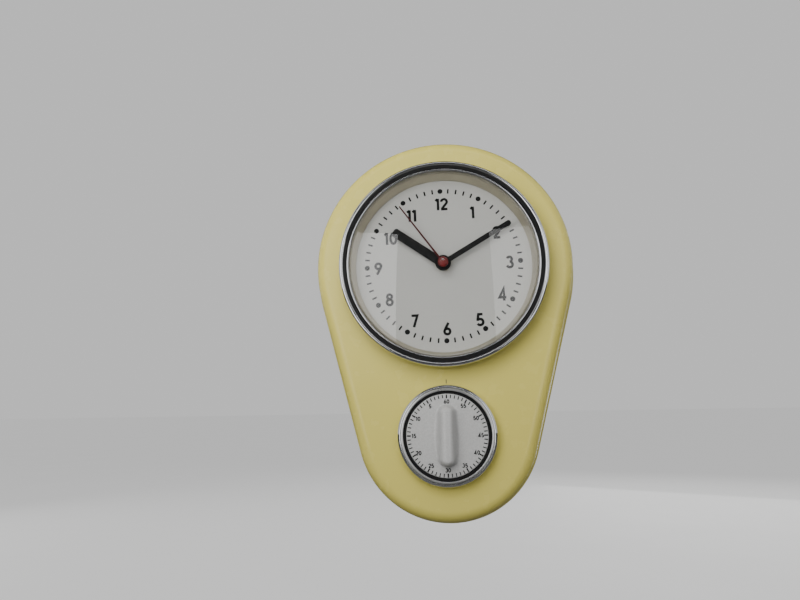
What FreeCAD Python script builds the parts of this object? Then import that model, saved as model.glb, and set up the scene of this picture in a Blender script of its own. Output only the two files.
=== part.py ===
import FreeCAD, Part
import math
import os
import Sketcher
from FreeCAD import Placement, Rotation, Vector

# Pear-shaped wall clock with a mechanical 60-minute timer below the clock face.
# Every piece is drawn in a local frame: x to the right, y up, z out of the wall towards the
# room, with z = 0 on the wall. A placement then stands the piece up, so that in the finished
# object +Z is up and the dials face -Y. The origin is on the clock's axis, at the wall.

DIMENSIONS = [
    # case
    ("top_radius", 89.2, "case wall radius around the clock, at the wall"),
    ("top_centre", 1.5, "height of the upper arc's centre above the clock axis"),
    ("bottom_radius", 61.2, "case wall radius around the timer, at the wall"),
    ("bottom_centre", 106.0, "depth of the lower arc's centre below the clock axis"),
    ("case_depth", 32.0, "wall to the flat front of the case"),
    ("case_draft", 8.5, "draft of the case side, degrees"),
    ("case_round", 7.5, "radius of the edge between side and front"),
    ("sheet", 0.9, "steel sheet of the case"),
    ("bead_out", 0.8, "how far the back rim bead stands out"),
    ("bead_depth", 1.8, "height of the back rim bead"),
    ("cover_gap", 1.5, "wall to the back cover"),
    ("cover_sheet", 1.6, "thickness of the back cover"),
    ("cover_inset", 1.6, "case wall line to the edge of the back cover"),
    ("boss_radius", 3.2, "screw boss radius"),
    ("screw_hole", 1.25, "hole radius in the screw bosses"),
    ("screw_head", 3.1, "radius of a cover screw's head"),
    ("tunnel", 60.0, "side of the square opening behind the movement"),
    ("tunnel_wall", 1.4, "wall of the collar round that opening"),
    ("tunnel_depth", 12.4, "wall to the front edge of that collar"),
    ("hang_height", 72.0, "nail height above the clock axis"),
    ("nail_hole", 4.6, "radius of the keyhole's round part"),
    ("nail_slot", 2.3, "half width of the keyhole's slot"),
    # clock front
    ("clock_opening", 63.4, "radius of the case opening for the clock"),
    ("bezel_outer", 68.0, "outer radius of the chromed clock bezel"),
    ("bezel_inner", 65.0, "inner radius of the chromed clock bezel"),
    ("bezel_front", 43.4, "wall to the crest of the clock bezel"),
    ("gasket_inner", 63.1, "inner radius of the black gasket"),
    ("gasket_front", 42.4, "wall to the front of the gasket"),
    ("ring_front", 42.0, "wall to the lip of the inner dial ring"),
    ("lens_radius", 61.6, "radius of the lens"),
    ("lens_seat", 39.4, "wall to the back edge of the lens"),
    ("lens_sheet", 1.6, "thickness of the lens"),
    ("lens_rise", 4.2, "height of the lens dome"),
    ("dial_window", 58.0, "radius of the dial that shows"),
    ("dial_radius", 66.0, "radius of the dial plate"),
    ("dial_front", 31.1, "wall to the printed face of the dial"),
    ("dial_sheet", 0.6, "thickness of the dial plate"),
    # hands and the shafts that carry them
    ("bush_radius", 3.2, "radius of the threaded bushing"),
    ("nut_flats", 8.0, "nut size across flats"),
    ("hour_tube", 1.9, "outer radius of the hour tube"),
    ("minute_tube", 1.1, "outer radius of the minute tube"),
    ("second_shaft", 0.5, "radius of the second shaft"),
    ("running", 0.06, "radial clearance of a turning shaft"),
    ("hour_length", 40.0, "hour hand, axis to tip"),
    ("hour_width", 6.0, "hour hand width"),
    ("hour_boss", 4.4, "radius of the hour hand's eye"),
    ("minute_length", 52.0, "minute hand, axis to tip"),
    ("minute_width", 3.4, "minute hand width"),
    ("minute_boss", 4.0, "radius of the minute hand's eye"),
    ("second_length", 48.0, "second hand, axis to tip"),
    ("second_root", 1.3, "second hand width at the axis"),
    ("second_width", 0.8, "second hand width at the tip"),
    ("hour_angle", 304.95, "hour hand at rest, degrees clockwise from twelve"),
    ("minute_angle", 59.4, "minute hand at rest"),
    ("second_angle", 324.0, "second hand at rest"),
    ("hub_radius", 5.2, "radius of the minute hand's hub"),
    ("cap_radius", 3.35, "radius of the second hand's cap"),
    # clock movement
    ("movement_side", 56.0, "side of the square movement"),
    ("movement_wall", 1.2, "wall of the movement case"),
    ("movement_back", 14.0, "wall to the movement's back cover"),
    ("movement_front", 29.8, "wall to the movement's front"),
    ("cell_radius", 7.0, "radius of the battery cell"),
    ("cell_length", 49.0, "length of the battery cell without its nub"),
    ("cell_height", 19.2, "depth of the cell's axis below the clock axis"),
    ("cell_centre", 21.5, "wall to the cell's axis"),
    ("centre_module", 0.28, "module of the centre wheel and the third pinion"),
    ("motion_module", 0.458333, "module of the cannon pinion and the minute wheel"),
    ("hour_module", 0.44, "module of the hour wheel and its pinion"),
    ("seconds_module", 0.42, "module of the seconds wheel and its pinion"),
    ("rotor_module", 0.36, "module of the intermediate wheel and the rotor pinion"),
    # timer front
    ("timer_drop", 110.0, "depth of the timer axis below the clock axis"),
    ("timer_opening", 28.6, "radius of the case opening for the timer"),
    ("timer_bezel_outer", 31.0, "outer radius of the timer bezel"),
    ("timer_bezel_inner", 28.9, "inner radius of the timer bezel"),
    ("timer_bezel_front", 39.6, "wall to the crest of the timer bezel"),
    ("timer_lip", 27.3, "inner radius of the lip inside the timer bezel"),
    ("seal_inner", 25.9, "inner radius of the black seal ring"),
    ("seal_front", 37.6, "wall to the front of the seal ring"),
    ("knob_radius", 25.5, "radius of the timer dial"),
    ("knob_back", 33.4, "wall to the back of the timer dial"),
    ("knob_front", 38.4, "wall to the edge of the timer dial's face"),
    ("grip_length", 38.6, "length of the grip"),
    ("grip_width", 18.0, "width of the grip's foot"),
    ("grip_ridge", 4.8, "width of the grip's ridge"),
    ("grip_height", 9.0, "height of the grip above the dial face"),
    # timer movement
    ("arbor_radius", 2.0, "radius of the timer arbor"),
    ("plate_radius", 27.0, "radius of the timer movement's plates"),
    ("plate_sheet", 1.2, "thickness of those plates"),
    ("front_plate_back", 27.6, "wall to the back of the front plate"),
    ("back_plate_back", 12.0, "wall to the back of the back plate"),
    ("pillar_radius", 2.6, "radius of the pillars"),
    ("pillar_circle", 22.0, "distance of the pillars from the timer axis"),
    ("great_module", 0.6, "module of the great wheel"),
    ("timer_module", 0.5, "module of the timer's other wheels"),
    ("bell_radius", 18.0, "outer radius of the bell"),
    ("bell_sheet", 1.0, "thickness of the bell"),
]

STAND_UP = 90.0             # turn about X that brings the local z axis round to -Y


class Size:
    """A number together with the sheet formula that gives it."""

    def __init__(self, value, text):
        self.value = float(value)
        self.text = text

    def __add__(self, other):
        other = size(other)
        return Size(self.value + other.value, f"({self.text} + {other.text})")

    def __radd__(self, other):
        return size(other) + self

    def __sub__(self, other):
        other = size(other)
        return Size(self.value - other.value, f"({self.text} - {other.text})")

    def __rsub__(self, other):
        return size(other) - self

    def __mul__(self, other):
        other = size(other)
        return Size(self.value * other.value, f"({self.text} * {other.text})")

    __rmul__ = __mul__

    def __truediv__(self, other):
        other = size(other)
        return Size(self.value / other.value, f"({self.text} / {other.text})")

    def __neg__(self):
        return Size(-self.value, f"(0 - {self.text})")


def size(thing):
    """Turn a plain number into a Size; leave a Size as it is."""
    if isinstance(thing, Size):
        return thing
    return Size(thing, f"{float(thing):.6f}" if thing >= 0 else f"(0 - {abs(float(thing)):.6f})")


os.makedirs("parts", exist_ok=True)
doc = FreeCAD.newDocument("WallClock")
sheet = doc.addObject("Spreadsheet::Sheet", "dims")
S = {}
for row, (alias, value, meaning) in enumerate(DIMENSIONS, start=1):
    sheet.set(f"A{row}", str(value))
    sheet.setAlias(f"A{row}", alias)
    sheet.set(f"B{row}", meaning)
    S[alias] = Size(value, f"dims.{alias}")
doc.recompute()

nodes = []


# ---------------------------------------------------------------- helpers

def stand_up(part, x=0.0, height=0.0, turn=0.0):
    """Stand a piece up at (x, height), turned clockwise by turn degrees as seen from the room."""
    x, height, turn = size(x), size(height), size(turn)
    facing = Rotation(Vector(1, 0, 0), STAND_UP)
    spin = Rotation(Vector(0, 0, 1), -turn.value)
    part.Placement = Placement(Vector(x.value, 0, height.value), facing.multiply(spin))
    part.setExpression("Placement.Base.x", x.text)
    part.setExpression("Placement.Base.z", height.text)


def new_body(label, **where):
    """Start a body that will be one sub-part."""
    body = doc.addObject("PartDesign::Body", label)
    body.Label = label
    stand_up(body, **where)
    nodes.append(body)
    return body


def origin_plane(body, role):
    return next(f for f in body.Origin.OriginFeatures if f.Role == role)


def new_sketch(body, plane, depth=0.0):
    """A sketch on one of the body's own origin planes, lifted by depth off that plane."""
    depth = size(depth)
    sketch = body.newObject("Sketcher::SketchObject", "Sketch")
    sketch.AttachmentSupport = [(origin_plane(body, plane), "")]
    sketch.MapMode = "FlatFace"
    sketch.AttachmentOffset = Placement(Vector(0, 0, depth.value), Rotation())
    if depth.value:
        sketch.setExpression("AttachmentOffset.Base.z", depth.text)
    return sketch


def bind(sketch, kind, *where, to):
    """Add a dimension to the sketch and bind it to the sheet."""
    to = size(to)
    index = sketch.addConstraint(Sketcher.Constraint(kind, *where, to.value))
    sketch.setExpression(f"Constraints[{index}]", to.text)


def pin_point(sketch, curve, end, x, y):
    """Hold one end of a curve at (x, y)."""
    x, y = size(x), size(y)
    if abs(x.value) < 1e-9:
        sketch.addConstraint(Sketcher.Constraint("PointOnObject", curve, end, -2))
    else:
        bind(sketch, "DistanceX", -1, 1, curve, end, to=x)
    if abs(y.value) < 1e-9:
        sketch.addConstraint(Sketcher.Constraint("PointOnObject", curve, end, -1))
    else:
        bind(sketch, "DistanceY", -1, 1, curve, end, to=y)


def add_polygon(sketch, points, domes=()):
    """A closed outline. The sides numbered in domes are arcs centred on the vertical axis."""
    points = [(size(x), size(y)) for x, y in points]
    count = len(points)
    ends = []
    for i in range(count):
        (ax, ay), (bx, by) = points[i], points[(i + 1) % count]
        a = Vector(ax.value, ay.value, 0)
        b = Vector(bx.value, by.value, 0)
        if i in domes:
            # the centre (0, c) is as far from a as from b
            c = (b.dot(b) - a.dot(a)) / (2.0 * (b.y - a.y))
            radius = math.hypot(a.x, a.y - c)
            low = math.atan2(a.y - c, a.x)
            high = math.atan2(b.y - c, b.x)
            forward = low < high
            circle = Part.Circle(Vector(0, c, 0), Vector(0, 0, 1), radius)
            curve = sketch.addGeometry(Part.ArcOfCircle(circle, min(low, high), max(low, high)))
            ends.append((curve, 1 if forward else 2, 2 if forward else 1))
            sketch.addConstraint(Sketcher.Constraint("PointOnObject", curve, 3, -2))
        else:
            curve = sketch.addGeometry(Part.LineSegment(a, b))
            ends.append((curve, 1, 2))
    for i in range(count):
        this, after = ends[i], ends[(i + 1) % count]
        sketch.addConstraint(Sketcher.Constraint("Coincident", this[0], this[2], after[0], after[1]))
    for (curve, start, _), (x, y) in zip(ends, points):
        pin_point(sketch, curve, start, x, y)


def add_circle(sketch, radius, x=0.0, y=0.0):
    x, y, radius = size(x), size(y), size(radius)
    curve = sketch.addGeometry(Part.Circle(Vector(x.value, y.value, 0), Vector(0, 0, 1), radius.value))
    pin_point(sketch, curve, 3, x, y)
    bind(sketch, "Radius", curve, to=radius)


def add_rectangle(sketch, left, right, low, high):
    add_polygon(sketch, [(left, low), (right, low), (right, high), (left, high)])


def add_pear(sketch, inset=0.0):
    """The case outline: two arcs joined by tangent lines, moved inwards by inset."""
    top = S["top_radius"] - inset
    bottom = S["bottom_radius"] - inset
    span = S["top_centre"].value + S["bottom_centre"].value
    lean = math.asin((top.value - bottom.value) / span)
    high = Vector(0, S["top_centre"].value, 0)
    low = Vector(0, -S["bottom_centre"].value, 0)
    normal = Vector(0, 0, 1)
    big_arc = Part.ArcOfCircle(Part.Circle(high, normal, top.value), -lean, math.pi + lean)
    small_arc = Part.ArcOfCircle(Part.Circle(low, normal, bottom.value), math.pi + lean, 2 * math.pi - lean)
    upper = sketch.addGeometry(big_arc)
    lower = sketch.addGeometry(small_arc)
    left = sketch.addGeometry(Part.LineSegment(big_arc.EndPoint, small_arc.StartPoint))
    right = sketch.addGeometry(Part.LineSegment(small_arc.EndPoint, big_arc.StartPoint))
    for arc, centre, radius in ((upper, S["top_centre"], top), (lower, -S["bottom_centre"], bottom)):
        sketch.addConstraint(Sketcher.Constraint("PointOnObject", arc, 3, -2))
        bind(sketch, "DistanceY", -1, 1, arc, 3, to=centre)
        bind(sketch, "Radius", arc, to=radius)
    around = [upper, left, lower, right]
    for first, second in zip(around, around[1:] + around[:1]):
        sketch.addConstraint(Sketcher.Constraint("Tangent", first, 2, second, 1))


def pad(body, sketch, length, taper=None):
    length = size(length)
    feature = body.newObject("PartDesign::Pad", "Pad")
    feature.Profile = sketch
    feature.Length = length.value
    feature.setExpression("Length", length.text)
    if taper is not None:
        feature.TaperAngle = -taper.value
        feature.setExpression("TaperAngle", f"0 - {taper.text}")
    return feature


def pocket(body, sketch, length):
    """Cut from the sketch towards the wall."""
    length = size(length)
    feature = body.newObject("PartDesign::Pocket", "Pocket")
    feature.Profile = sketch
    feature.Length = length.value
    feature.setExpression("Length", length.text)
    return feature


def turned(label, outlines, domes=(), **where):
    """A turned piece: each outline is a list of (radius, distance from the wall)."""
    body = new_body(label, **where)
    for number, outline in enumerate(outlines):
        sketch = new_sketch(body, "XZ_Plane")
        add_polygon(sketch, outline, domes if number == 0 else ())
        feature = body.newObject("PartDesign::Revolution", "Revolution")
        feature.Profile = sketch
        feature.ReferenceAxis = (sketch, ["V_Axis"])
        feature.Angle = 360.0
    return body


def tube(inner, outer, back, front):
    """The outline of a plain ring or, with inner = 0, of a disc."""
    return [(inner, back), (outer, back), (outer, front), (inner, front)]


def slab(body, back, front, draw):
    """Pad what draw puts in a sketch, from back to front."""
    sketch = new_sketch(body, "XY_Plane", back)
    draw(sketch)
    return pad(body, sketch, size(front) - back)


def cut(body, front, back, draw):
    """Pocket what draw puts in a sketch, from front back to back."""
    sketch = new_sketch(body, "XY_Plane", front)
    draw(sketch)
    return pocket(body, sketch, size(front) - back)


def round_edges(body, radius, wanted):
    """Round the edges of the body's tip that wanted picks."""
    doc.recompute()
    tip = body.Tip
    names = [f"Edge{i}" for i, edge in enumerate(tip.Shape.Edges, start=1) if wanted(edge)]
    radius = size(radius)
    feature = body.newObject("PartDesign::Fillet", "Fillet")
    feature.Base = (tip, names)
    feature.Radius = radius.value
    feature.setExpression("Radius", radius.text)
    return feature


def polar(distance, degrees):
    """A point at that distance and angle, the angle counted anticlockwise from the right."""
    distance = size(distance)
    angle = math.radians(degrees)
    return distance * math.cos(angle), distance * math.sin(angle)


def toothed(teeth, module, back, front, phase, small=False):
    """A straight-toothed wheel as a solid. phase is where one tooth stands, in degrees."""
    pitch = 2 * math.pi / teeth
    outer = module * (teeth / 2 + (0.7 if small else 0.75))
    root = module * (teeth / 2 - 1.15)
    foot = pitch * (0.19 if small else 0.23)
    tip = pitch * (0.09 if small else 0.11)
    points = []
    for i in range(teeth):
        middle = math.radians(phase) + i * pitch
        for radius, angle in ((root, -foot), (outer, -tip), (outer, tip), (root, foot)):
            points.append(Vector(radius * math.cos(middle + angle), radius * math.sin(middle + angle), back))
    points.append(points[0])
    face = Part.Face(Part.makePolygon(points))
    return face.extrude(Vector(0, 0, front - back))


def rod(radius, back, front, x=0.0, y=0.0):
    return Part.makeCylinder(radius, front - back, Vector(x, y, back))


def spokes_between(radius, back, front, distance, angles):
    """Round holes in a wheel's web, at those angles in radians."""
    return [rod(radius, back, front, distance * math.cos(a), distance * math.sin(a)) for a in angles]


def wheelwork(label, solids, holes=(), **where):
    """A wheel, its pinion and its arbor as one piece, from solids made with the sheet's sizes."""
    shape = solids[0]
    for solid in solids[1:]:
        shape = shape.fuse(solid)
    for hole in holes:
        shape = shape.cut(hole)
    shape = shape.removeSplitter()
    part = doc.addObject("Part::Feature", label)
    part.Label = label
    part.Shape = shape.Solids[0] if len(shape.Solids) == 1 else shape
    stand_up(part, **where)
    nodes.append(part)
    return part


def cell(alias):
    """A size read back from the sheet."""
    return float(sheet.get(alias))


# ---------------------------------------------------------------- case

def front_housing():
    """Drawn steel shell: drafted side, rounded front edge, rolled back rim, screw bosses."""
    body = new_body("front_housing")
    sketch = new_sketch(body, "XY_Plane")
    add_pear(sketch)
    pad(body, sketch, S["case_depth"], S["case_draft"])
    # hollow it from the back, leaving the sheet, with the same draft and a matching inner round
    sketch = new_sketch(body, "XY_Plane")
    add_pear(sketch, S["sheet"])
    hollow = pocket(body, sketch, S["case_depth"] - S["sheet"])
    hollow.Reversed = True
    hollow.TaperAngle = -S["case_draft"].value
    hollow.setExpression("TaperAngle", f"0 - {S['case_draft'].text}")
    # the inner round comes first, or the sharp inner corner would break through the outer one
    for inward in (S["sheet"], size(0)):
        level = (S["case_depth"] - inward).value
        round_edges(body, S["case_round"] - inward,
                    lambda e: all(abs(v.Point.z - level) < 1e-4 for v in e.Vertexes))
    # rolled rim round the back edge
    sketch = new_sketch(body, "XY_Plane")
    add_pear(sketch, -S["bead_out"])
    add_pear(sketch, S["sheet"])
    pad(body, sketch, S["bead_depth"])
    cut(body, S["case_depth"] + 1, S["case_depth"] - 3, lambda s: add_circle(s, S["clock_opening"]))
    cut(body, S["case_depth"] + 1, S["case_depth"] - 3,
        lambda s: add_circle(s, S["timer_opening"], 0, -S["timer_drop"]))
    boss_back = S["cover_gap"] + S["cover_sheet"]
    inner = S["case_depth"] - S["sheet"] / 2

    def bosses(radius):
        def draw(sketch):
            for x, y in BOSSES:
                add_circle(sketch, radius, x, y)
        return draw

    slab(body, boss_back, inner, bosses(S["boss_radius"]))
    cut(body, boss_back + 9, boss_back - 1, bosses(S["screw_hole"]))
    return body


BOSSES = [(-70.0, 30.0), (70.0, 30.0), (-38.0, -136.0), (38.0, -136.0)]
SOUND_SLOTS = [-16.0, -8.0, 0.0, 8.0, 16.0]


def back_cover():
    """Flat cover with a collar round the movement, sound slots and a nail opening."""
    body = new_body("back_cover")
    back = S["cover_gap"]
    front = back + S["cover_sheet"]
    slab(body, back, front, lambda s: add_pear(s, S["cover_inset"]))
    half = S["tunnel"] / 2
    outer = half + S["tunnel_wall"]

    def collar(sketch):
        add_rectangle(sketch, -outer, outer, -outer, outer)

    def hole(sketch):
        add_rectangle(sketch, -half, half, -half, half)

    slab(body, front, S["tunnel_depth"], collar)
    cut(body, S["tunnel_depth"], 0, hole)

    def slots(sketch):
        for x in SOUND_SLOTS:
            add_rectangle(sketch, x - 1.2, x + 1.2, -S["timer_drop"] - 12, -S["timer_drop"] + 12)

    cut(body, front, 0, slots)

    def screws(sketch):
        for x, y in BOSSES:
            add_circle(sketch, S["screw_hole"] + 0.3, x, y)

    cut(body, front, 0, screws)
    cut(body, front, 0, lambda s: add_circle(s, 8.0, 0, S["hang_height"]))
    return body


def cover_screws():
    """Four pan-head screws; heads outside the cover, shanks in the bosses."""
    body = new_body("cover_screws")

    def spots(radius):
        def draw(sketch):
            for x, y in BOSSES:
                add_circle(sketch, radius, x, y)
        return draw

    slab(body, 0.4, S["cover_gap"], spots(S["screw_head"]))
    slab(body, S["cover_gap"], 9.0, spots(S["screw_hole"] - 0.05))

    def slots(sketch):
        for x, y in BOSSES:
            add_rectangle(sketch, x - 0.35, x + 0.35, y - 1.9, y + 1.9)

    cut(body, 0.9, 0, slots)
    return body


def hanger_plate():
    """Steel plate with the keyhole that hangs on the nail."""
    body = new_body("hanger_plate")
    height = S["hang_height"]
    slab(body, 0.5, S["cover_gap"], lambda s: add_rectangle(s, -17, 17, height - 8.5, height + 10.0))
    cut(body, S["cover_gap"], 0, lambda s: add_circle(s, S["nail_hole"], 0, height - 1.5))
    cut(body, S["cover_gap"], 0,
        lambda s: add_rectangle(s, -S["nail_slot"], S["nail_slot"], height, height + 7.0))
    return body


def wall_pads():
    """Two rubber feet that keep the lower end off the wall."""
    body = new_body("wall_pads")

    def spots(sketch):
        for x in (-26.0, 26.0):
            add_circle(sketch, 6.0, x, -150.0)

    slab(body, 0, S["cover_gap"], spots)
    return body


def index_mark():
    """Short printed line above the timer that its dial is read against."""
    body = new_body("index_mark", height=-S["timer_drop"])
    low = S["timer_bezel_outer"] + 1.0
    front = S["case_depth"]
    slab(body, front, front + 0.15, lambda s: add_rectangle(s, -0.35, 0.35, low, low + 2.6))
    return body


# ---------------------------------------------------------------- clock front

def clock_bezel():
    """Rolled chromed ring with a hollow back."""
    foot = S["case_depth"]
    crest = S["bezel_front"]
    inner, outer = S["bezel_inner"], S["bezel_outer"]
    outline = [
        (inner, foot), (inner + 0.7, foot), (inner + 0.7, crest - 2.2), (outer - 0.7, crest - 3.4),
        (outer - 0.7, foot), (outer, foot), (outer, crest - 3.2), (outer - 0.5, crest - 1.4),
        (outer - 1.3, crest - 0.3), (inner + 0.9, crest), (inner + 0.3, crest - 0.4), (inner, crest - 1.2),
    ]
    return turned("clock_bezel", [outline])


def bezel_gasket():
    """Black ring that seals the bezel against the case and the dial ring."""
    inner, outer = S["gasket_inner"], S["bezel_inner"]
    return turned("bezel_gasket", [tube(inner, outer, S["case_depth"], S["gasket_front"])])


def dial_ring():
    """Bright inner wall from the lens down to the dial."""
    outline = [
        (S["dial_window"], S["dial_front"]),
        (S["gasket_inner"], S["dial_front"]),
        (S["gasket_inner"], S["ring_front"]),
        (S["lens_radius"] + 0.15, S["ring_front"]),
        (S["lens_radius"], S["ring_front"] - 0.3),
        (S["lens_radius"], S["lens_seat"]),
        (S["lens_radius"] - 1.4, S["lens_seat"]),
    ]
    return turned("dial_ring", [outline])


def clock_lens():
    """Domed clear lens."""
    seat = S["lens_seat"]
    crown = seat + S["lens_rise"]
    outline = [
        (S["lens_radius"], seat),
        (S["lens_radius"], seat + S["lens_sheet"]),
        (0, crown + S["lens_sheet"]),
        (0, crown),
    ]
    return turned("clock_lens", [outline], domes=(1, 3))


def dial_plate():
    """Printed disc behind the hands."""
    front = S["dial_front"]
    hole = S["bush_radius"] + 0.1
    return turned("dial_plate", [tube(hole, S["dial_radius"], front - S["dial_sheet"], front)])


def hand_blade(sketch, length, width, corner):
    """A straight hand that points up from the axis, its tip corners cut off."""
    half = width / 2
    add_polygon(sketch, [(-half, 0), (half, 0), (half, length - corner), (half - corner, length),
                         (-half + corner, length), (-half, length - corner)])


def hour_hand():
    body = new_body("hour_hand", turn=S["hour_angle"])
    slab(body, 33.6, 34.0, lambda s: hand_blade(s, S["hour_length"], S["hour_width"], size(1.2)))
    slab(body, 33.6, 34.0, lambda s: add_circle(s, S["hour_boss"]))
    cut(body, 35.0, 33.0, lambda s: add_circle(s, S["hour_tube"]))
    return body


def minute_hand():
    body = new_body("minute_hand", turn=S["minute_angle"])
    slab(body, 35.4, 35.8, lambda s: hand_blade(s, S["minute_length"], S["minute_width"], size(0.8)))
    slab(body, 35.4, 35.8, lambda s: add_circle(s, S["minute_boss"]))
    cut(body, 36.5, 35.0, lambda s: add_circle(s, S["minute_tube"]))
    return body


def minute_hub():
    """Black disc that covers the minute hand's root."""
    hub = S["hub_radius"]
    bore = S["minute_tube"]
    outline = [(bore, 35.8), (hub, 35.8), (hub, 36.4), (hub - 0.5, 36.8), (bore, 36.8)]
    return turned("minute_hub", [outline])


def second_hand():
    """Thin tapering needle on its pipe."""
    body = new_body("second_hand", turn=S["second_angle"])
    root = S["second_root"] / 2
    tip = S["second_width"] / 2

    def needle(sketch):
        add_polygon(sketch, [(-root, 0), (root, 0), (tip, S["second_length"]), (-tip, S["second_length"])])

    slab(body, 37.6, 38.0, needle)
    slab(body, 37.4, 38.2, lambda s: add_circle(s, 2.2))
    cut(body, 38.5, 37.0, lambda s: add_circle(s, S["second_shaft"]))
    return body


def second_cap():
    """Red domed cap at the centre."""
    cap = S["cap_radius"]
    outline = [(0, 38.2), (cap, 38.2), (cap, 39.4), (cap - 0.5, 40.1), (0, 40.4)]
    return turned("second_cap", [outline])


# ---------------------------------------------------------------- clock movement

def movement_case():
    """Square moulded case, open at the back, with a wall between the wheels and the cell."""
    body = new_body("movement_case")
    half = S["movement_side"] / 2
    wall = S["movement_wall"]
    back, front = S["movement_back"], S["movement_front"]
    slab(body, back, front, lambda s: add_rectangle(s, -half, half, -half, half))
    corner = half.value
    round_edges(body, 3.0, lambda e: abs(e.BoundBox.XLength) < 1e-6 and abs(e.BoundBox.YLength) < 1e-6
                and abs(abs(e.CenterOfMass.x) - corner) < 1e-3)
    inner = half - wall

    def wheel_bay(sketch):
        add_rectangle(sketch, -inner, inner, -10.4, inner)

    def cell_bay(sketch):
        add_rectangle(sketch, -inner, inner, -inner, -11.6)

    cut(body, front - wall, back, wheel_bay)
    cut(body, front - wall, back, cell_bay)
    cut(body, front + 1, back, lambda s: add_circle(s, S["bush_radius"]))
    return body


def movement_cover():
    """Back plate of the movement, open over the cell and pierced for the setting knob."""
    body = new_body("movement_cover")
    half = S["movement_side"] / 2
    front = S["movement_back"]
    back = front - 1.2
    slab(body, back, front, lambda s: add_rectangle(s, -half, half, -half, half))
    cut(body, front, back, lambda s: add_rectangle(s, -26.0, 26.0, -26.4, -12.0))
    cut(body, front, back, lambda s: add_circle(s, 1.5, 11.0, 11.0))
    return body


def threaded_bushing():
    """Brass bushing of the movement case that the hour tube turns in."""
    bush = S["bush_radius"]
    bore = S["hour_tube"] + S["running"]
    back = S["movement_front"] - S["movement_wall"]
    outline = [(bore, back), (bush, back), (bush, 33.0), (bush - 0.3, 33.3), (bore, 33.3)]
    return turned("threaded_bushing", [outline])


def mounting_nut():
    """Hexagonal nut that clamps the dial to the movement."""
    body = new_body("mounting_nut")
    flat = S["nut_flats"] / 2
    reach = flat * (2 / math.sqrt(3))

    def hexagon(sketch):
        add_polygon(sketch, [(reach * math.cos(math.radians(60 * i)), reach * math.sin(math.radians(60 * i)))
                             for i in range(6)])

    slab(body, S["dial_front"], S["dial_front"] + 1.7, hexagon)
    cut(body, 34.0, 31.0, lambda s: add_circle(s, S["bush_radius"]))
    return body


def rubber_washer():
    front = S["dial_front"] - S["dial_sheet"]
    return turned("rubber_washer", [tube(S["bush_radius"] + 0.1, 9.0, S["movement_front"], front)])


def circuit_board():
    body = new_body("circuit_board")
    slab(body, 15.0, 15.8, lambda s: add_rectangle(s, -26.0, -12.5, -9.4, 25.0))
    slab(body, 15.8, 17.2, lambda s: add_circle(s, 3.4, -18.0, 2.0))
    return body


def quartz_crystal():
    """Can that lies on the board."""
    body = new_body("quartz_crystal", x=-21.0)
    sketch = new_sketch(body, "XZ_Plane", -20.0)
    add_circle(sketch, 1.5, 0, 17.3)
    pad(body, sketch, 8.0)
    return body


def drive_coil():
    """Copper winding round the stator's core."""
    body = new_body("drive_coil")
    sketch = new_sketch(body, "YZ_Plane", -8.5)
    add_circle(sketch, 4.0, 20.0, 18.5)
    add_rectangle(sketch, 18.4, 21.6, 18.1, 18.9)
    pad(body, sketch, 16.5)
    return body


def stator():
    """Soft-iron plate with the rotor hole; its bar runs through the coil."""
    body = new_body("stator")
    outline = [(8.7, -0.5), (19.7, -0.5), (19.7, 23.0), (8.7, 23.0), (8.7, 21.5), (-12.0, 21.5),
               (-12.0, 18.5), (8.7, 18.5)]
    slab(body, 18.2, 18.8, lambda s: add_polygon(s, outline))
    cut(body, 19.0, 18.0, lambda s: add_circle(s, 3.4, *ROTOR))
    cut(body, 19.0, 18.0, lambda s: add_circle(s, 1.7, 11.0, 11.0))
    return body


INTERMEDIATE_ANGLE = 20.0
CENTRE_GAP = 7.56
ROTOR = (2 * CENTRE_GAP * math.cos(math.radians(INTERMEDIATE_ANGLE)),
         2 * CENTRE_GAP * math.sin(math.radians(INTERMEDIATE_ANGLE)))


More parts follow.
